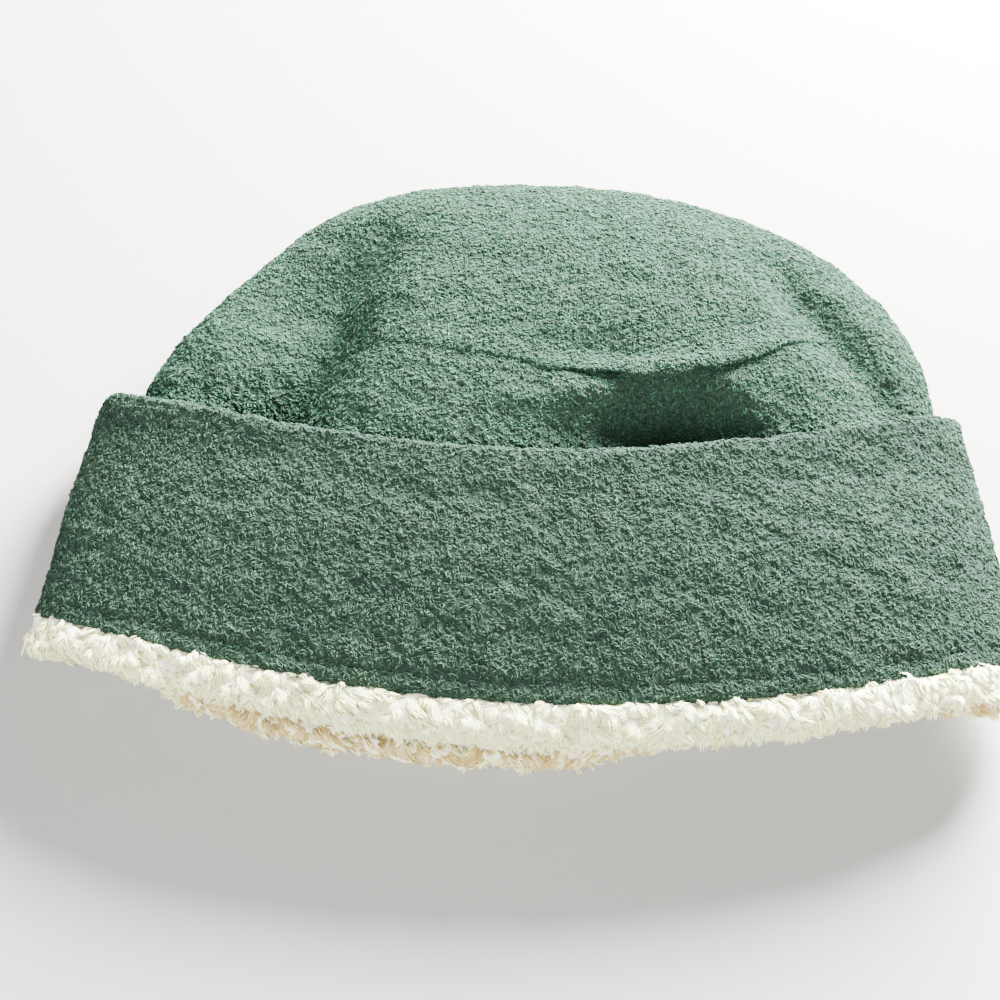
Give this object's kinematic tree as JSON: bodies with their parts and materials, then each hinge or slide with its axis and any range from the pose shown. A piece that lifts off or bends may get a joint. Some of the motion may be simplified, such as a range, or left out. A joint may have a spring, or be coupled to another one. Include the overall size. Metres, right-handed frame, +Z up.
{
  "type": "knit beanie",
  "caption": "Cuffed winter beanie lying flat: heathered fleece crown and turn-up cuff, with a pile trim at the rim and a pile lining round an open head cavity",
  "frame": {"origin": "centre of the footprint, at the height of the surface the hat lies on", "axes": "+X runs across the hat from its left side fold to its right one, -Y points out of the head opening, +Y to the crown's end, and +Z is up, out of the surface"},
  "size_m": [0.2878, 0.2169, 0.0448],
  "materials": {
    "shell_fleece": "matte",
    "cuff_fleece": "matte",
    "trim_pile": "matte",
    "lining_pile": "matte",
    "sewing_thread": "satin"
  },
  "bodies": {
    "root": {"crown_top": "shell_fleece", "shell_front": "shell_fleece", "shell_back": "shell_fleece", "cuff_front": "cuff_fleece", "cuff_back": "cuff_fleece", "trim_front": "trim_pile", "trim_back": "trim_pile", "lining_top": "lining_pile", "lining_front": "lining_pile", "lining_back": "lining_pile", "crown_seam_thread": "sewing_thread", "rim_stitching": "sewing_thread", "side_seam_thread_left": "sewing_thread", "side_seam_thread_right": "sewing_thread"}
  },
  "joints": []
}
